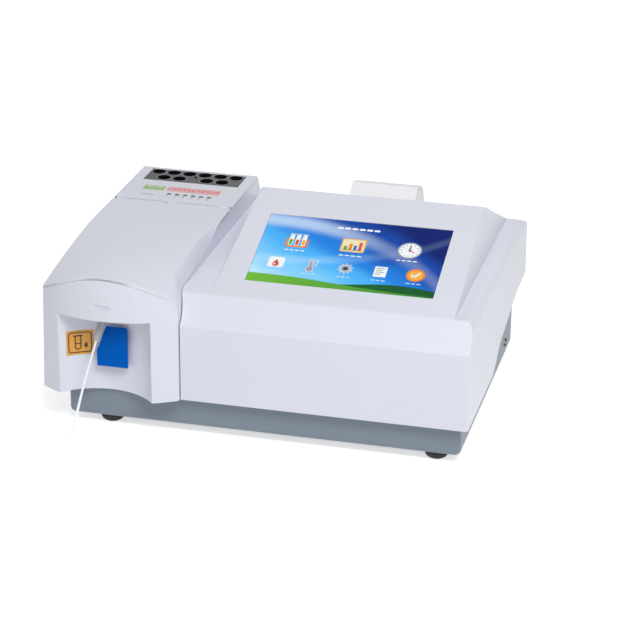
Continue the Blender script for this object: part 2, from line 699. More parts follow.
SWITCH_HEIGHT = 0.0065
SWITCH_HALF_WIDTH = 0.0045
SWITCH_DEPTH = 0.012


def key_switch():
    tail_top = KEY_PIVOT_Z + KEY_HUB_RADIUS / 2
    body_z = KEY_PIVOT_Z + LUG_REACH + GAP
    front = recess_wall_y(RECESS_CENTRE_X) + WALL + GAP
    body = box(around(KEY_HUB_X, SWITCH_HALF_WIDTH), (front, front + SWITCH_DEPTH), (body_z, body_z + SWITCH_HEIGHT))
    nib_y = KEY_PIVOT_Y + KEY_TAIL - PIN_RADIUS
    nib = rod("Z", (KEY_HUB_X, nib_y), PIN_RADIUS, tail_top + KEY_TRAVEL_GAP, body_z + OVERRUN, 12)
    node(fuse(body, nib), "key_switch", BLACK)


# Probe: thin steel tube bowed slightly, leaving the tower through a guide below the brow
GUIDE_START_SHARE = 0.082
GUIDE_END_SHARE = 0.27
GUIDE_RADIUS = 0.0031
PROBE_STEPS = 12


def probe_point(share):
    """A point on the probe, from its top at 0 to its tip at 1."""
    bow = Vector((-PROBE_BOW, 0, 0)) * (share * (1 - share) * 2)
    return PROBE_TOP.lerp(PROBE_TIP, share) + bow


def sweep(points, radius, sides):
    """A round tube with flat ends along points that lie nearly in line."""
    bm = bmesh.new()
    rings = []
    for index, point in enumerate(points):
        before = points[max(index - 1, 0)]
        after = points[min(index + 1, len(points) - 1)]
        turn = (after - before).to_track_quat("Z", "Y").to_matrix().to_4x4()
        ring = bmesh.ops.create_circle(bm, radius=radius, segments=sides, matrix=Matrix.Translation(point) @ turn)
        rings.append(ring["verts"])
    bm.faces.new(rings[0])
    bm.faces.new(rings[-1])
    for lower, upper in zip(rings, rings[1:]):
        for here in range(sides):
            after = (here + 1) % sides
            bm.faces.new((lower[here], lower[after], upper[after], upper[here]))
    return solid(bm)


def probe_tube(radius, start, end):
    steps = [start + (end - start) * step / PROBE_STEPS for step in range(PROBE_STEPS + 1)]
    return sweep([probe_point(share) for share in steps], radius, 12)


def probe_pieces():
    node(probe_tube(PROBE_RADIUS, 0, 1), "sipper_probe", STEEL_SURFACE)
    ends = [probe_point(share) for share in (GUIDE_START_SHARE / 2, GUIDE_END_SHARE)]
    guide = sweep(ends, GUIDE_RADIUS, 16)
    reach = 4 * GUIDE_RADIUS
    x, y, z = probe_point(GUIDE_START_SHARE)
    cut(guide, box(around(x, reach), around(y, reach), (BROW_Z - GAP, TOP_Z)))
    bore_end = GUIDE_END_SHARE + GUIDE_START_SHARE / 2
    cut(guide, probe_tube(PROBE_RADIUS + GAP, 0, bore_end))
    node(guide, "probe_guide", GREY)


# Hood, hinge pin and the cover around the incubator
HINGE_Z = TOP_Z - HINGE_DROP
SEAM_Y = HINGE_Y + HINGE_DROP + GAP
HINGE_LEFT = TOWER_LEFT_TOP + WALL + GAP
HINGE_RIGHT = TOWER_SEAM_REAR_X - WALL - GAP


def fixed_knuckles():
    """X ranges of the incubator cover's knuckles: both ends and the middle."""
    middle = (HINGE_LEFT + HINGE_RIGHT) / 2
    left = (HINGE_LEFT, HINGE_LEFT + KNUCKLE_LENGTH)
    right = (HINGE_RIGHT - KNUCKLE_LENGTH, HINGE_RIGHT)
    return [left, around(middle, KNUCKLE_LENGTH / 2), right]


def hood_lid():
    lid = slab(hood_rows(), WALL)
    knuckles = fixed_knuckles()
    for low, high in knuckles:
        reach = HINGE_DROP + GAP
        cut(lid, box((low - GAP, high + GAP), (HINGE_Y - reach, HINGE_Y + reach), around(TOP_Z, 2 * WALL)))
    edge = TOWER_LEFT_TOP - OVERRUN
    cut(lid, box((edge, HINGE_LEFT), (HINGE_Y - HINGE_DROP - GAP, SEAM_Y), around(TOP_Z, 2 * WALL)))
    edge = TOWER_SEAM_REAR_X + OVERRUN
    cut(lid, box((HINGE_RIGHT, edge), (HINGE_Y - HINGE_DROP - GAP, SEAM_Y), around(TOP_Z, 2 * WALL)))
    for before, after in zip(knuckles, knuckles[1:]):
        barrel = rod("X", (HINGE_Y, HINGE_Z), KNUCKLE_RADIUS, before[1] + GAP, after[0] - GAP)
        fuse(lid, barrel)
    cut(lid, rod("X", (HINGE_Y, HINGE_Z), PIN_RADIUS + GAP, HINGE_LEFT, HINGE_RIGHT, 12))
    node(lid, "hood_lid", WHITE, (BOW_CENTRE_X, HINGE_Y, HINGE_Z))
    pin = rod("X", (HINGE_Y, HINGE_Z), PIN_RADIUS, HINGE_LEFT + PIN_RADIUS, HINGE_RIGHT - PIN_RADIUS, 12)
    node(pin, "hood_hinge_pin", STEEL_SURFACE)


LENS_RADIUS = 0.0020
LENS_PITCH = 0.0073
LENS_FIRST_X = -0.1344
LENS_Y = 0.067
LENS_COUNT = 6
LENS_BAR_THICK = 0.003


def lens_places():
    return [(LENS_FIRST_X + LENS_PITCH * place, LENS_Y) for place in range(LENS_COUNT)]


def incubator_cover():
    slant = (REAR_Y - TOWER_TOP_REAR_Y) / (TOP_Z - TOWER_SHOULDER_Z)
    outline = [
        (SEAM_Y, TOP_Z - WALL),
        (SEAM_Y, TOP_Z),
        (TOWER_TOP_REAR_Y, TOP_Z),
        (TOWER_TOP_REAR_Y + slant * WALL, TOP_Z - WALL),
    ]
    cover = prism(outline, "X", TOWER_LEFT_TOP, TOWER_SEAM_REAR_X)
    for low, high in fixed_knuckles():
        fuse(cover, box((low, high), (HINGE_Y, SEAM_Y + OVERRUN), (TOP_Z - WALL, TOP_Z)))
        fuse(cover, rod("X", (HINGE_Y, HINGE_Z), KNUCKLE_RADIUS, low, high))
    cut(cover, rod("X", (HINGE_Y, HINGE_Z), PIN_RADIUS + GAP, HINGE_LEFT - OVERRUN, HINGE_RIGHT + OVERRUN, 12))
    block_x = around(BLOCK_X, BLOCK_HALF_WIDTH + GAP)
    cut(cover, box(block_x, around(BLOCK_Y, BLOCK_HALF_DEPTH + GAP), around(TOP_Z, 2 * WALL)))
    for place in lens_places():
        cut(cover, rod("Z", place, LENS_RADIUS + GAP, TOP_Z - 2 * WALL, TOP_Z + WALL, 12))
    node(cover, "incubator_cover", WHITE)
    bar_top = TOP_Z - WALL - GAP
    first, last = lens_places()[0], lens_places()[-1]
    bar_x = (first[0] - LENS_PITCH / 2, last[0] + LENS_PITCH / 2)
    strip = box(bar_x, around(LENS_Y, LENS_RADIUS * 2), (bar_top - LENS_BAR_THICK, bar_top))
    for place in lens_places():
        fuse(strip, rod("Z", place, LENS_RADIUS, bar_top - LENS_BAR_THICK / 2, TOP_Z, 12))
    node(strip, "indicator_strip", BLACK)


# Incubator block with its wells, heater pad and bracket
HEATER_THICK = 0.002
BRACKET_THICK = 0.003
BRACKET_LEG_X = 0.0295
BRACKET_LEG_DEPTH = 0.0094
BRACKET_PANEL_GAP = 0.0077
WELL_CENTRE_SHARES = (-1.875, -0.875, 0.875, 1.875)


def well_places():
    """Six wells behind, four in front with a wider space between the middle two."""
    back_y = BLOCK_Y + WELL_ROW_STEP / 2 + WELL_RADIUS / 6
    back = [(BLOCK_X + WELL_PITCH * (place - 2.5), back_y) for place in range(6)]
    front = [(BLOCK_X + WELL_PITCH * share, back_y - WELL_ROW_STEP) for share in WELL_CENTRE_SHARES]
    return back + front


def incubator():
    block_bottom = TOP_Z - BLOCK_HEIGHT
    block_x = around(BLOCK_X, BLOCK_HALF_WIDTH)
    block_y = around(BLOCK_Y, BLOCK_HALF_DEPTH)
    block = box(block_x, block_y, (block_bottom, TOP_Z))
    for place in well_places():
        cut(block, rod("Z", place, WELL_RADIUS, TOP_Z - WELL_DEPTH, TOP_Z + OVERRUN, 20))
    node(block, "incubator_block", DARK_PLATE)
    pad_top = block_bottom - GAP
    pad = box(around(BLOCK_X, BLOCK_HALF_WIDTH - OVERRUN), around(BLOCK_Y, BLOCK_HALF_DEPTH - OVERRUN),
              (pad_top - HEATER_THICK, pad_top))
    node(pad, "heater_pad", ORANGE)
    shelf_top = pad_top - HEATER_THICK - GAP
    leg_rear = BASE_HALF_DEPTH - STEEL - BRACKET_PANEL_GAP
    leg_y = (leg_rear - BRACKET_LEG_DEPTH, leg_rear)
    shelf_y = (min(block_y[0], leg_y[0]), max(block_y[1], leg_y[1]))
    bracket = box(block_x, shelf_y, (shelf_top - BRACKET_THICK, shelf_top))
    for facing in (-1, 1):
        leg_x = around(BLOCK_X + facing * BRACKET_LEG_X, BRACKET_THICK / 2)
        leg_z = (TRAY_FLOOR_Z + GAP, shelf_top - BRACKET_THICK / 2)
        fuse(bracket, box(leg_x, leg_y, leg_z))
    node(bracket, "incubator_bracket", ALUMINIUM)


# Strip printer: fixed bin and bezel, lid over its top and back, roll on a spindle
HUMP_SHARES = ((0.32, 1.0), (0.58, 0.63), (0.71, 0.21), (0.8, -0.54), (1.0, -3.33))
BEZEL_FOOT_SHARE = -0.11
LID_THICK = 0.0025
SLOT_START = 0.0008
SLOT_END = 0.0026
LID_HINGE_ALONG = 0.0125
LID_HINGE_DEPTH = 0.0023
LID_BARREL_RADIUS = 0.002
BIN_REAR_DROP = 0.0035
ROLL_RADIUS = 0.018
ROLL_BORE = 0.0063
ROLL_SIDE_GAP = 0.0015
SPINDLE_RADIUS = 0.0059
STUB_RADIUS = 0.002
PLATEN_RADIUS = 0.004
PLATEN_BACK = 0.0205
PLATEN_DROP = 0.0118
EAR_THICK = 0.003
HEAD_HEIGHT = 0.007


def hump_points():
    """Side view of the printer's hump: bezel top, top, edge, back and foot, as (y, z)."""
    return [Vector((CREST_Y + HUMP_DEPTH * y, CREST_Z + HUMP_RISE * z)) for y, z in HUMP_SHARES]


def toward(start, end, distance):
    return start + (end - start).normalized() * distance


def inward(start, end, depth):
    """Vector of length depth square to start-end, to the lower side of a line that runs back."""
    run = (end - start).normalized()
    return Vector((run.y, -run.x)) * depth


def lid_hinge():
    """Hinge axis of the printer lid and the unit vectors along and out of the hump's back."""
    bezel, top, edge, back, foot = hump_points()
    run = (foot - back).normalized()
    out = -inward(back, foot, 1)
    return back + run * LID_HINGE_ALONG - out * LID_HINGE_DEPTH, run, out


def under_lid(depth):
    """Points below the lid's outer surface by depth, from the slot to the start of the hinge."""
    bezel, top, edge, back, foot = hump_points()
    first = inward(bezel, top, depth)
    corners = []
    for before, here, after in ((bezel, top, edge), (top, edge, back), (edge, back, foot)):
        one = inward(before, here, depth)
        two = inward(here, after, depth)
        corners.append(here + (one + two) / (1 + one.dot(two) / depth**2))
    return first, corners


def printer_pieces():
    left, right = PRINTER_LEFT, PRINTER_LEFT + PRINTER_WIDTH
    front_y, rear_y = CREST_Y + HUMP_FRONT_STEP, CREST_Y + HUMP_DEPTH
    bottom_z = CREST_Z - BIN_DEPTH
    bezel, top, edge, back, foot = hump_points()
    hinge, run, out = lid_hinge()
    drop, corners = under_lid(LID_THICK + GAP)
    slot = toward(bezel, top, SLOT_START)
    start = -math.asin((LID_THICK + GAP) / LID_HINGE_DEPTH - 1)
    turns = spaced(start, math.pi / 2, 4)
    boss = [hinge + (-run * math.cos(a) + out * math.sin(a)) * LID_HINGE_DEPTH for a in turns]
    bezel_foot = (front_y, CREST_Z + HUMP_RISE * BEZEL_FOOT_SHARE)
    cheek = [(front_y, bottom_z), bezel_foot, bezel, slot, slot + drop, *corners, *boss, foot, (rear_y, bottom_z)]
    housing = prism([tuple(point) for point in cheek], "X", left, right)
    inner_x = (left + WALL, right - WALL)
    inner_front = front_y + WALL
    rear_top = foot.y + BIN_REAR_DROP
    face_back = [bezel + Vector((0, -WALL)), slot + Vector((OVERRUN * 4, -WALL))]
    hollow = [
        (inner_front, bottom_z + WALL),
        (inner_front, bezel_foot[1] - WALL),
        tuple(face_back[0]),
        (slot.x + GAP, bezel.y - WALL),
        (slot.x + GAP, bezel.y + OVERRUN),
        (rear_y + OVERRUN, bezel.y + OVERRUN),
        (rear_y + OVERRUN, rear_top),
        (rear_y - WALL, rear_top),
        (rear_y - WALL, bottom_z + WALL),
    ]
    cut(housing, prism(hollow, "X", *inner_x))
    roll_centre = ((inner_front + rear_y - WALL) / 2, bottom_z + WALL + ROLL_RADIUS + 2 * OVERRUN)
    cut(housing, rod("X", roll_centre, STUB_RADIUS + GAP, left - OVERRUN, right + OVERRUN, 12))
    cut(housing, rod("X", tuple(hinge), PIN_RADIUS + GAP, left - OVERRUN, right + OVERRUN, 12))
    node(housing, "printer_housing", WHITE)

    lid_drop, lid_corners = under_lid(LID_THICK)
    slot_end = toward(bezel, top, SLOT_END)
    reach = LID_HINGE_DEPTH + GAP
    end_out = hinge - run * reach + out * LID_HINGE_DEPTH
    end_in = end_out - out * LID_THICK
    band = [slot_end, top, edge, back, end_out, end_in, *reversed(lid_corners), slot_end + lid_drop]
    lid = prism([tuple(point) for point in band], "X", left, right)
    barrel_x = (inner_x[0] + GAP, inner_x[1] - GAP)
    tongue_out = out * (LID_HINGE_DEPTH - GAP)
    tongue_in = out * (LID_HINGE_DEPTH - LID_THICK + GAP)
    back_up = hinge - run * (reach + OVERRUN)
    tongue = [hinge + tongue_out, hinge + tongue_in, back_up + tongue_in, back_up + tongue_out]
    fuse(lid, prism([tuple(point) for point in tongue], "X", *barrel_x))
    fuse(lid, rod("X", tuple(hinge), LID_BARREL_RADIUS, *barrel_x))
    platen = Vector((front_y + PLATEN_BACK, bezel.y - PLATEN_DROP))
    ear_reach = STUB_RADIUS + LID_THICK / 2
    ear_top = top.y - LID_THICK / 4
    ears = []
    for low, high in ((barrel_x[0], barrel_x[0] + EAR_THICK), (barrel_x[1] - EAR_THICK, barrel_x[1])):
        ears.append(box((low, high), around(platen.x, ear_reach), (platen.y - ear_reach, ear_top)))
    fuse(lid, *ears)
    cut(lid, rod("X", tuple(platen), STUB_RADIUS + GAP, left, right, 12))
    cut(lid, rod("X", tuple(hinge), PIN_RADIUS + GAP, left - OVERRUN, right + OVERRUN, 12))
    middle = (left + right) / 2
    node(lid, "printer_lid", WHITE, (middle, *hinge))
    pin = rod("X", tuple(hinge), PIN_RADIUS, left + PIN_RADIUS, right - PIN_RADIUS, 12)
    node(pin, "printer_lid_pin", STEEL_SURFACE)

    lay = Matrix.Rotation(math.pi / 2, 4, "Y")
    half = (barrel_x[1] - barrel_x[0]) / 2 - EAR_THICK - GAP
    shaft = half + EAR_THICK
    profile = [(0, shaft), (STUB_RADIUS, shaft), (STUB_RADIUS, half), (PLATEN_RADIUS, half)]
    profile += [(radius, -height) for radius, height in reversed(profile)]
    roller = moved(turned(profile, 16), Matrix.Translation((middle, *platen)) @ lay)
    node(roller, "platen_roller", RUBBER, (middle, *platen))
    half = (inner_x[1] - inner_x[0]) / 2 - ROLL_SIDE_GAP
    roll = rod("X", roll_centre, ROLL_RADIUS, *around(middle, half), 32)
    cut(roll, rod("X", roll_centre, ROLL_BORE, *around(middle, half + OVERRUN), 20))
    node(roll, "paper_roll", PAPER, (middle, *roll_centre))
    shaft = PRINTER_WIDTH / 2 - GAP
    half += ROLL_SIDE_GAP - GAP
    profile = [(0, shaft), (STUB_RADIUS, shaft), (STUB_RADIUS, half), (SPINDLE_RADIUS, half)]
    profile += [(radius, -height) for radius, height in reversed(profile)]
    spindle = moved(turned(profile, 20), Matrix.Translation((middle, *roll_centre)) @ lay)
    node(spindle, "paper_spindle", GREY, (middle, *roll_centre))
    head_y = (inner_front + GAP, platen.x - PLATEN_RADIUS - GAP)
    head_z = (platen.y + STUB_RADIUS / 2 - HEAD_HEIGHT, platen.y + STUB_RADIUS / 2)
    head_x = (barrel_x[0] + EAR_THICK + GAP, barrel_x[1] - EAR_THICK - GAP)
    node(box(head_x, head_y, head_z), "print_head", DARK_PLATE)


# Rear panel and what is let into it
PANEL_MIDDLE_Z = 0.037
PANEL_INNER_Y = BASE_HALF_DEPTH - STEEL
FLANGE_THICK = 0.0025
INLET_SHARE = 0.8034
INLET_X = BASE_HALF_WIDTH * INLET_SHARE
INLET_HALF_WIDTH = 0.013
INLET_HALF_HEIGHT = 0.0095
INLET_DEPTH = 0.025
INLET_WALL = 0.0018
INLET_POCKET = 0.016
BLADE_HALF_WIDTH = 0.001
BLADE_HALF_HEIGHT = 0.0022
BLADE_STEP = 0.007
BLADE_LENGTH = 0.0095
SWITCH_SHARE = 0.6086
SWITCH_X = BASE_HALF_WIDTH * SWITCH_SHARE
SWITCH_HALF_WIDE = 0.0075
SWITCH_HALF_TALL = 0.0105
SWITCH_BODY_DEPTH = 0.014
SWITCH_WALL = 0.0022
ROCKER_TILT = math.radians(10)
ROCKER_RISE = 0.0042
ROCKER_WAIST = 0.0024
ROCKER_BACK = 0.002
SERIAL_SHARE = -0.2435
SERIAL_X = BASE_HALF_WIDTH * SERIAL_SHARE
SERIAL_HALF_WIDTH = 0.0154
SERIAL_HALF_HEIGHT = 0.0062
SERIAL_SHELL = 0.0055
USB_SHARE = -0.426
USB_X = BASE_HALF_WIDTH * USB_SHARE
USB_HALF_WIDTH = 0.0072
USB_HALF_HEIGHT = 0.0066
USB_DEPTH = 0.016
WASTE_SHARE = -0.8521
WASTE_X = BASE_HALF_WIDTH * WASTE_SHARE
WASTE_RADIUS = 0.003
WASTE_BORE = 0.0012
WASTE_LENGTH = 0.014
WASTE_COLLAR = 0.007
FAN_SHARE = 0.1826
FAN_X = BASE_HALF_WIDTH * FAN_SHARE
FAN_HALF = 0.020
FAN_DEPTH = 0.010
FAN_BORE = 0.0186
FAN_HUB = 0.009
FAN_BLADE_TIP = 0.0178
FAN_BLADE_THICK = 0.0012
FAN_BLADE_TILT = math.radians(38)
FAN_BLADES = 7
FAN_CHORD_SHARE = 0.53
FAN_ROOT_SHARE = 0.8
STRUT = 0.002
GRILLE_SLOTS = 7
GRILLE_SLOT = 0.0026
SCREW_INSET = 0.007
SCREW_RADIUS = 0.0015
SCREW_HEAD_RADIUS = 0.003
SCREW_HEAD_THICK = 0.002
SCREW_LENGTH = 0.008


def panel_top():
    return edge_z(PANEL_INNER_Y) - 2 * GAP


def panel_box(x, half_width, half_height, low_y, high_y):
    return box(around(x, half_width), (low_y, high_y), around(PANEL_MIDDLE_Z, half_height))


def screw_places():
    x = BASE_HALF_WIDTH - STEEL - SCREW_INSET
    low, high = TRAY_FLOOR_Z + SCREW_INSET, panel_top() - SCREW_INSET
    return [(-x, low), (x, low), (-x, high), (x, high)]


def rear_panel():
    half = BASE_HALF_WIDTH - STEEL - GAP
    panel = box((-half, half), (PANEL_INNER_Y, BASE_HALF_DEPTH), (TRAY_FLOOR_Z + GAP, panel_top()))
    span = (PANEL_INNER_Y - OVERRUN, BASE_HALF_DEPTH + OVERRUN)
    cut(panel, panel_box(INLET_X, INLET_HALF_WIDTH + GAP, INLET_HALF_HEIGHT + GAP, *span))
    cut(panel, panel_box(SWITCH_X, SWITCH_HALF_WIDE - FLANGE_THICK / 2 + GAP,
                         SWITCH_HALF_TALL - FLANGE_THICK / 2 + GAP, *span))
    cut(panel, panel_box(SERIAL_X, SERIAL_HALF_WIDTH - SERIAL_SHELL + GAP, SERIAL_SHELL - FLANGE_THICK / 2 + GAP, *span))
    cut(panel, panel_box(USB_X, USB_HALF_WIDTH + GAP, USB_HALF_HEIGHT + GAP, *span))
    cut(panel, rod("Y", (WASTE_X, PANEL_MIDDLE_Z), WASTE_RADIUS + GAP, *span, 16))
    for x in spaced(FAN_X - FAN_BORE + STRUT, FAN_X + FAN_BORE - STRUT, GRILLE_SLOTS - 1):
        rise = math.sqrt(FAN_BORE**2 - (x - FAN_X) ** 2)
        cut(panel, panel_box(x, GRILLE_SLOT / 2, rise, *span))
    for place in screw_places():
        cut(panel, rod("Y", place, SCREW_RADIUS + GAP, *span, 12))
    node(panel, "rear_panel", SLATE)


def power_inlet():
    face = BASE_HALF_DEPTH + GAP
    inlet = panel_box(INLET_X, INLET_HALF_WIDTH, INLET_HALF_HEIGHT, BASE_HALF_DEPTH - INLET_DEPTH, face + GAP)
    rim = INLET_WALL
    fuse(inlet, panel_box(INLET_X, INLET_HALF_WIDTH + rim, INLET_HALF_HEIGHT + rim, face, face + FLANGE_THICK))
    floor = face + FLANGE_THICK - INLET_POCKET
    cut(inlet, panel_box(INLET_X, INLET_HALF_WIDTH - rim, INLET_HALF_HEIGHT - rim, floor, face + 2 * FLANGE_THICK))
    for place, lift in ((-1, -1), (0, 1), (1, -1)):
        x = INLET_X + place * BLADE_STEP
        z = PANEL_MIDDLE_Z + lift * BLADE_HALF_HEIGHT
        blade = box(around(x, BLADE_HALF_WIDTH), (floor - GAP, floor + BLADE_LENGTH), around(z, BLADE_HALF_HEIGHT))
        fuse(inlet, blade)
    node(inlet, "power_inlet", BLACK)


def power_switch():
    face = BASE_HALF_DEPTH + GAP
    wide, tall = SWITCH_HALF_WIDE, SWITCH_HALF_TALL
    step = FLANGE_THICK / 2
    frame = panel_box(SWITCH_X, wide - step, tall - step, face - SWITCH_BODY_DEPTH, face + GAP)
    fuse(frame, panel_box(SWITCH_X, wide, tall, face, face + FLANGE_THICK))
    pocket = face - SWITCH_BODY_DEPTH + SWITCH_WALL
    cut(frame, panel_box(SWITCH_X, wide - SWITCH_WALL, tall - SWITCH_WALL, pocket, face + 2 * FLANGE_THICK))
    node(frame, "switch_frame", BLACK)
    reach = tall - SWITCH_WALL - STRUT / 2
    outline = [(ROCKER_RISE, -reach), (ROCKER_WAIST, 0), (ROCKER_RISE, reach), (-ROCKER_BACK, reach)]
    outline.append((-ROCKER_BACK, -reach))
    half = wide - SWITCH_WALL - GAP
    rocker = moved(prism(outline, "X", -half, half), Matrix.Rotation(-ROCKER_TILT, 4, "X"))
    pivot = (SWITCH_X, face, PANEL_MIDDLE_Z)
    node(moved(rocker, Matrix.Translation(pivot)), "power_rocker", BLACK, pivot)


def ports():
    face = BASE_HALF_DEPTH + GAP
    wide, tall = SERIAL_HALF_WIDTH - SERIAL_SHELL, SERIAL_SHELL - FLANGE_THICK / 2
    serial = panel_box(SERIAL_X, SERIAL_HALF_WIDTH, SERIAL_HALF_HEIGHT, face, face + FLANGE_THICK / 2)
    fuse(serial, panel_box(SERIAL_X, wide, tall, PANEL_INNER_Y - SERIAL_SHELL, face + SERIAL_SHELL))
    pocket = panel_box(SERIAL_X, wide - GAP * 3, tall - GAP * 3, face - GAP, face + 2 * SERIAL_SHELL)
    node(cut(serial, pocket), "serial_port", STEEL_SURFACE)
    usb = panel_box(USB_X, USB_HALF_WIDTH, USB_HALF_HEIGHT, face - USB_DEPTH, face + GAP)
    pocket = panel_box(USB_X, USB_HALF_WIDTH - GAP * 3, USB_HALF_HEIGHT - GAP * 3, face - USB_DEPTH / 2, face + OVERRUN)
    node(cut(usb, pocket), "usb_port", STEEL_SURFACE)
    grip = WASTE_RADIUS + GAP * 2
    start = BASE_HALF_DEPTH + GAP
    tip = start + WASTE_LENGTH
    barb = tip - WASTE_LENGTH / 3
    inner = PANEL_INNER_Y - WASTE_LENGTH / 2
    neck = WASTE_RADIUS - GAP * 2
    profile = [(WASTE_BORE + GAP * 2, tip), (grip, barb), (neck, barb), (neck, start + OVERRUN)]
    profile += [(WASTE_COLLAR, start + OVERRUN), (WASTE_COLLAR, start), (WASTE_RADIUS, start), (WASTE_RADIUS, inner)]
    profile = [(0, tip)] + profile + [(0, inner)]
    outlet = moved(turned(profile, 16), Matrix.Rotation(-math.pi / 2, 4, "X"))
    moved(outlet, Matrix.Translation((WASTE_X, 0, PANEL_MIDDLE_Z)))
    cut(outlet, rod("Y", (WASTE_X, PANEL_MIDDLE_Z), WASTE_BORE, inner - OVERRUN, tip + OVERRUN, 10))
    node(outlet, "waste_outlet", GREY)


def fan():
    back = PANEL_INNER_Y - GAP
    front = back - FAN_DEPTH
    centre = (FAN_X, PANEL_MIDDLE_Z)
    frame = panel_box(FAN_X, FAN_HALF, FAN_HALF, front, back)
    cut(frame, rod("Y", centre, FAN_BORE, front - OVERRUN, back + OVERRUN, 36))
    spider = rod("Y", centre, FAN_HUB, front, front + STRUT, 20)
    fuse(spider, panel_box(FAN_X, FAN_BORE + GAP, STRUT / 2, front, front + STRUT))
    fuse(spider, panel_box(FAN_X, STRUT / 2, FAN_BORE + GAP, front, front + STRUT))
    node(fuse(frame, spider), "fan_frame", BLACK)
    rotor_low = front + STRUT + GAP
    rotor_high = back - GAP
    middle = (rotor_low + rotor_high) / 2
    rotor = rod("Y", (0, 0), FAN_HUB, rotor_low - middle, rotor_high - middle, 20)
    chord = (rotor_high - rotor_low) * FAN_CHORD_SHARE
    for place in range(FAN_BLADES):
        blade = box(around(0, FAN_BLADE_THICK / 2), around(0, chord), (FAN_HUB * FAN_ROOT_SHARE, FAN_BLADE_TIP))
        moved(blade, Matrix.Rotation(FAN_BLADE_TILT, 4, "Z"))
        fuse(rotor, moved(blade, Matrix.Rotation(math.tau * place / FAN_BLADES, 4, "Y")))
    pivot = (FAN_X, middle, PANEL_MIDDLE_Z)
    node(moved(rotor, Matrix.Translation(pivot)), "fan_rotor", BLACK, pivot)


def case_screws():
    for index, (x, z) in enumerate(screw_places(), 1):
        head = BASE_HALF_DEPTH + GAP
        profile = [(0, head + SCREW_HEAD_THICK), (SCREW_HEAD_RADIUS / 2, head + SCREW_HEAD_THICK)]
        profile += [(SCREW_HEAD_RADIUS, head + SCREW_HEAD_THICK / 2), (SCREW_HEAD_RADIUS, head)]
        profile += [(SCREW_RADIUS, head), (SCREW_RADIUS, head - SCREW_LENGTH), (0, head - SCREW_LENGTH)]
        screw = moved(turned(profile, 12), Matrix.Rotation(-math.pi / 2, 4, "X"))
        node(moved(screw, Matrix.Translation((x, 0, z))), f"panel_screw_{index}", STEEL_SURFACE)


# Electronics on the tray floor
BOARD_ACROSS_SHARES = (-0.3043, 0.3652)
BOARD_ALONG_SHARES = (-0.841, 0.2523)
STANDOFF_HEIGHT = 0.006
STANDOFF_RADIUS = 0.003
STANDOFF_INSET = 0.006
CHIP_HEIGHT = 0.003
CHIP_SHARES = ((0.3, 0.35, 0.12, 0.1), (0.7, 0.3, 0.09, 0.08), (0.35, 0.72, 0.08, 0.12), (0.72, 0.7, 0.14, 0.07))
SUPPLY_ACROSS_SHARES = (0.5356, 0.9251)
SUPPLY_ALONG_SHARES = (-0.5046, 0.5046)
SUPPLY_HEIGHT = 0.036
TERMINAL_HEIGHT = 0.010
TERMINAL_DEPTH = 0.012


def board_with_chips(x_range, y_range, floor_z):
    """A circuit board on standoffs, with its chips, lying flat."""
    (x0, x1), (y0, y1) = x_range, y_range
    board_z = floor_z + STANDOFF_HEIGHT
    board = box(x_range, y_range, (board_z, board_z + BOARD))
    for x in (x0 + STANDOFF_INSET, x1 - STANDOFF_INSET):
        for y in (y0 + STANDOFF_INSET, y1 - STANDOFF_INSET):
            fuse(board, rod("Z", (x, y), STANDOFF_RADIUS, floor_z, board_z + BOARD / 2, 10))
    for across, along, wide, deep in CHIP_SHARES:
        chip_x = around(x0 + across * (x1 - x0), wide * (x1 - x0))
        chip_y = around(y0 + along * (y1 - y0), deep * (y1 - y0))
        fuse(board, box(chip_x, chip_y, (board_z + BOARD / 2, board_z + BOARD + CHIP_HEIGHT)))
    return board


def on_floor(across_shares, along_shares):
    """X and Y ranges of what stands on the tray floor, from shares of the tray's half width and half depth."""
    return [BASE_HALF_WIDTH * share for share in across_shares], [BASE_HALF_DEPTH * share for share in along_shares]


def electronics():
    floor_z = TRAY_FLOOR_Z + GAP
    board_x, board_y = on_floor(BOARD_ACROSS_SHARES, BOARD_ALONG_SHARES)
    node(board_with_chips(board_x, board_y, floor_z), "main_board", GREEN_BOARD)
    supply_x, supply_y = on_floor(SUPPLY_ACROSS_SHARES, SUPPLY_ALONG_SHARES)
    supply = box(supply_x, supply_y, (floor_z, floor_z + SUPPLY_HEIGHT))
    terminal_x = (supply_x[0] + TERMINAL_DEPTH, supply_x[1] - TERMINAL_DEPTH)
    terminal_y = (supply_y[1] - STEEL, supply_y[1] + TERMINAL_DEPTH)
    fuse(supply, box(terminal_x, terminal_y, (floor_z + STEEL, floor_z + STEEL + TERMINAL_HEIGHT)))
    node(supply, "power_supply", ALUMINIUM)


# Optics under the hood, in line on a bench that stands on the tray floor
BENCH_X = (-0.152, -0.086)
BENCH_Y = (-0.096, 0.036)
BENCH_TOP_Z = 0.090
BENCH_THICK = 0.005
BENCH_LEG = 0.006
BEAM_X = -0.118
BEAM_Z = 0.110
LAMP_HALF = 0.015
LAMP_HEIGHT = 0.032
LAMP_Y = 0.018
FIN = 0.0022
FIN_SHARES = (0.2, 0.5, 0.8)
LAMP_POCKET = 0.009
BULB_RADIUS = 0.0045
BULB_BASE_RADIUS = 0.0068
BULB_HEIGHT = 0.022
BEAM_RADIUS = 0.003
FILTER_RING = 0.0125
WHEEL_RADIUS = 0.018
WHEEL_THICK = 0.003
WHEEL_Y = -0.008
FILTER_COUNT = 8
FILTER_RADIUS = 0.0032
SHAFT_RADIUS = 0.002
MOTOR_RADIUS = 0.010
MOTOR_LENGTH = 0.018
MOTOR_SHAFT = 0.008
MOTOR_FOOT_SHARE = 0.8
CELL_HALF = 0.008
CELL_HEIGHT = 0.030
CELL_Y = -0.045
CELL_SLOT = 0.0025
DETECTOR_Y = -0.074
DETECTOR_HALF_WIDTH = 0.020
DETECTOR_HEIGHT = 0.034
DETECTOR_FOOT = 0.010


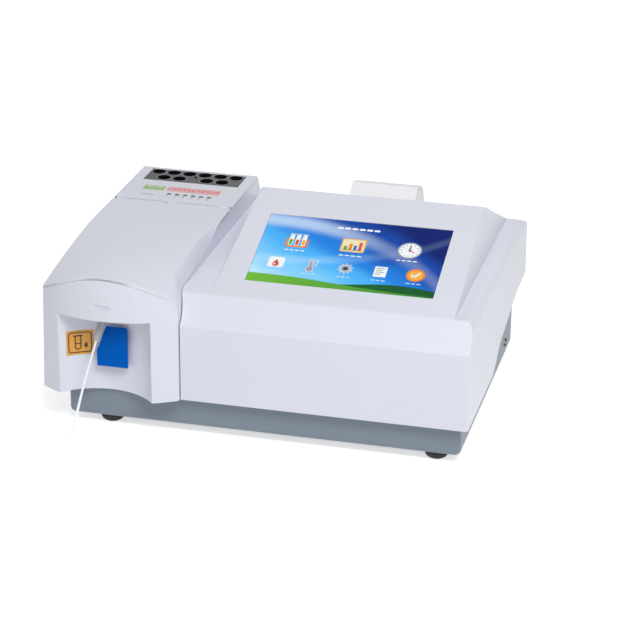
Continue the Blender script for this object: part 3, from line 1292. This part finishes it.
def optical_bench():
    bench = box(BENCH_X, BENCH_Y, (BENCH_TOP_Z - BENCH_THICK, BENCH_TOP_Z))
    for x in (BENCH_X[0], BENCH_X[1] - BENCH_LEG):
        for y in (BENCH_Y[0], BENCH_Y[1] - BENCH_LEG):
            leg_z = (TRAY_FLOOR_Z + GAP, BENCH_TOP_Z - BENCH_THICK / 2)
            fuse(bench, box((x, x + BENCH_LEG), (y, y + BENCH_LEG), leg_z))
    node(bench, "optical_bench", ALUMINIUM)


def lamp():
    floor_z = BENCH_TOP_Z + GAP
    top = floor_z + LAMP_HEIGHT
    housing = box(around(BEAM_X, LAMP_HALF), around(LAMP_Y, LAMP_HALF), (floor_z, top))
    for share in FIN_SHARES:
        z = floor_z + LAMP_HEIGHT * share
        for facing in (-1, 1):
            x = BEAM_X + facing * LAMP_HALF
            cut(housing, box(around(x, FIN), around(LAMP_Y, LAMP_HALF + OVERRUN), around(z, FIN / 2)))
    cut(housing, rod("Z", (BEAM_X, LAMP_Y), LAMP_POCKET, floor_z + STEEL, top + OVERRUN, 20))
    cut(housing, rod("Y", (BEAM_X, BEAM_Z), BEAM_RADIUS, LAMP_Y - LAMP_HALF - OVERRUN, LAMP_Y, 12))
    node(housing, "lamp_housing", ALUMINIUM)
    base = floor_z + STEEL + GAP
    neck = base + BULB_HEIGHT / 3
    tip = base + BULB_HEIGHT
    profile = [(0, tip), (BULB_RADIUS / 2, tip - BULB_RADIUS / 4), (BULB_RADIUS, tip - BULB_RADIUS)]
    profile += [(BULB_RADIUS, neck), (BULB_BASE_RADIUS, neck), (BULB_BASE_RADIUS, base), (0, base)]
    bulb = moved(turned(profile, 16), Matrix.Translation((BEAM_X, LAMP_Y, 0)))
    node(bulb, "halogen_lamp", CLEAR)


def filters():
    axis_x = BEAM_X - FILTER_RING
    centre = (axis_x, BEAM_Z)
    wheel = rod("Y", centre, WHEEL_RADIUS, *around(WHEEL_Y, WHEEL_THICK / 2), 36)
    for x, z in circle(centre, FILTER_RING, FILTER_COUNT):
        cut(wheel, rod("Y", (x, z), FILTER_RADIUS, *around(WHEEL_Y, WHEEL_THICK), 12))
    shaft_end = WHEEL_Y - WHEEL_THICK / 2 - GAP - MOTOR_SHAFT + GAP
    fuse(wheel, rod("Y", centre, SHAFT_RADIUS, shaft_end, WHEEL_Y, 12))
    node(wheel, "filter_wheel", DARK_PLATE, (axis_x, WHEEL_Y, BEAM_Z))
    face = WHEEL_Y - WHEEL_THICK / 2 - GAP
    motor = rod("Y", centre, MOTOR_RADIUS, face - MOTOR_LENGTH, face - OVERRUN, 24)
    foot_y = (face - MOTOR_LENGTH + OVERRUN, face - 2 * OVERRUN)
    fuse(motor, box(around(axis_x, MOTOR_RADIUS * MOTOR_FOOT_SHARE), foot_y, (BENCH_TOP_Z + GAP, BEAM_Z)))
    bore_low = shaft_end - GAP
    cut(motor, rod("Y", centre, SHAFT_RADIUS + GAP, bore_low, face + OVERRUN, 12))
    node(motor, "filter_motor", STEEL_SURFACE)


def cell_and_detector():
    floor_z = BENCH_TOP_Z + GAP
    cell = box(around(BEAM_X, CELL_HALF), around(CELL_Y, CELL_HALF), (floor_z, floor_z + CELL_HEIGHT))
    cut(cell, rod("Y", (BEAM_X, BEAM_Z), BEAM_RADIUS, *around(CELL_Y, CELL_HALF + OVERRUN), 12))
    slot_x = around(BEAM_X, CELL_SLOT)
    cut(cell, box(slot_x, around(CELL_Y, CELL_SLOT), (BEAM_Z, floor_z + CELL_HEIGHT + OVERRUN)))
    node(cell, "flow_cell", BLACK)
    board_x = around(BEAM_X, DETECTOR_HALF_WIDTH)
    board = box(board_x, around(DETECTOR_Y, BOARD / 2), (floor_z, floor_z + DETECTOR_HEIGHT))
    foot_y = (DETECTOR_Y - DETECTOR_FOOT, DETECTOR_Y)
    fuse(board, box(board_x, foot_y, (floor_z, floor_z + STEEL)))
    fuse(board, rod("Y", (BEAM_X, BEAM_Z), BEAM_RADIUS * 2, DETECTOR_Y, DETECTOR_Y + DETECTOR_FOOT, 16))
    node(board, "detector_board", GREEN_BOARD)


# Peristaltic pump on the tray floor under the bench
PUMP_HALF = 0.022
PUMP_Y = (-0.086, -0.070)
PUMP_Z = 0.034
PUMP_BORE = 0.017
PUMP_BACK = 0.004
PUMP_MOTOR_RADIUS = 0.014
PUMP_MOTOR_LENGTH = 0.040
ROLLER_RADIUS = 0.0045
ROLLER_RING = 0.011
ROTOR_HUB = 0.008
PUMP_X = (STEEL - BASE_HALF_WIDTH + COVER_LIP_X) / 2


def pump():
    floor_z = TRAY_FLOOR_Z + GAP
    centre = (PUMP_X, PUMP_Z)
    front, back = PUMP_Y
    body = box(around(PUMP_X, PUMP_HALF), PUMP_Y, (floor_z, PUMP_Z + PUMP_HALF))
    cut(body, rod("Y", centre, PUMP_BORE, front - OVERRUN, back - PUMP_BACK, 32))
    cut(body, rod("Y", centre, SHAFT_RADIUS + GAP, front, back + OVERRUN, 12))
    node(body, "pump_body", GREY)
    rotor_y = (front + GAP, back - PUMP_BACK - GAP)
    rotor = rod("Y", centre, ROTOR_HUB, *rotor_y, 20)
    for place in circle(centre, ROLLER_RING, 3, math.pi / 2):
        fuse(rotor, rod("Y", place, ROLLER_RADIUS, rotor_y[0] + GAP, rotor_y[1] - GAP, 12))
    fuse(rotor, rod("Y", centre, SHAFT_RADIUS, rotor_y[1] - GAP, back + MOTOR_SHAFT, 12))
    node(rotor, "pump_rotor", BLACK, (PUMP_X, sum(rotor_y) / 2, PUMP_Z))
    motor_front = back + GAP
    motor = rod("Y", centre, PUMP_MOTOR_RADIUS, motor_front, motor_front + PUMP_MOTOR_LENGTH, 24)
    foot_y = (motor_front + OVERRUN, motor_front + PUMP_MOTOR_LENGTH - OVERRUN)
    fuse(motor, box(around(PUMP_X, PUMP_MOTOR_RADIUS / 2), foot_y, (floor_z, PUMP_Z)))
    cut(motor, rod("Y", centre, SHAFT_RADIUS + GAP, motor_front - OVERRUN, back + MOTOR_SHAFT + GAP, 12))
    node(motor, "pump_motor", STEEL_SURFACE)


def carry():
    """Parents every piece to one empty, so that the middle of the footprint at floor level is the origin."""
    bpy.context.view_layer.update()
    corners = [piece.matrix_world @ vert.co for piece in PIECES for vert in piece.data.vertices]
    low = Vector([min(corner[axis] for corner in corners) for axis in range(3)])
    high = Vector([max(corner[axis] for corner in corners) for axis in range(3)])
    frame = bpy.data.objects.new("analyzer_frame", None)
    frame.location = (-(low.x + high.x) / 2, -(low.y + high.y) / 2, -low.z)
    bpy.context.scene.collection.objects.link(frame)
    for piece in PIECES:
        piece.parent = frame


base_tray()
feet()
housing_shell()
screen_pieces()
tower_shell()
aspirate_key()
key_switch()
probe_pieces()
hood_lid()
incubator_cover()
incubator()
printer_pieces()
rear_panel()
power_inlet()
power_switch()
ports()
fan()
case_screws()
electronics()
optical_bench()
lamp()
filters()
cell_and_detector()
pump()
carry()
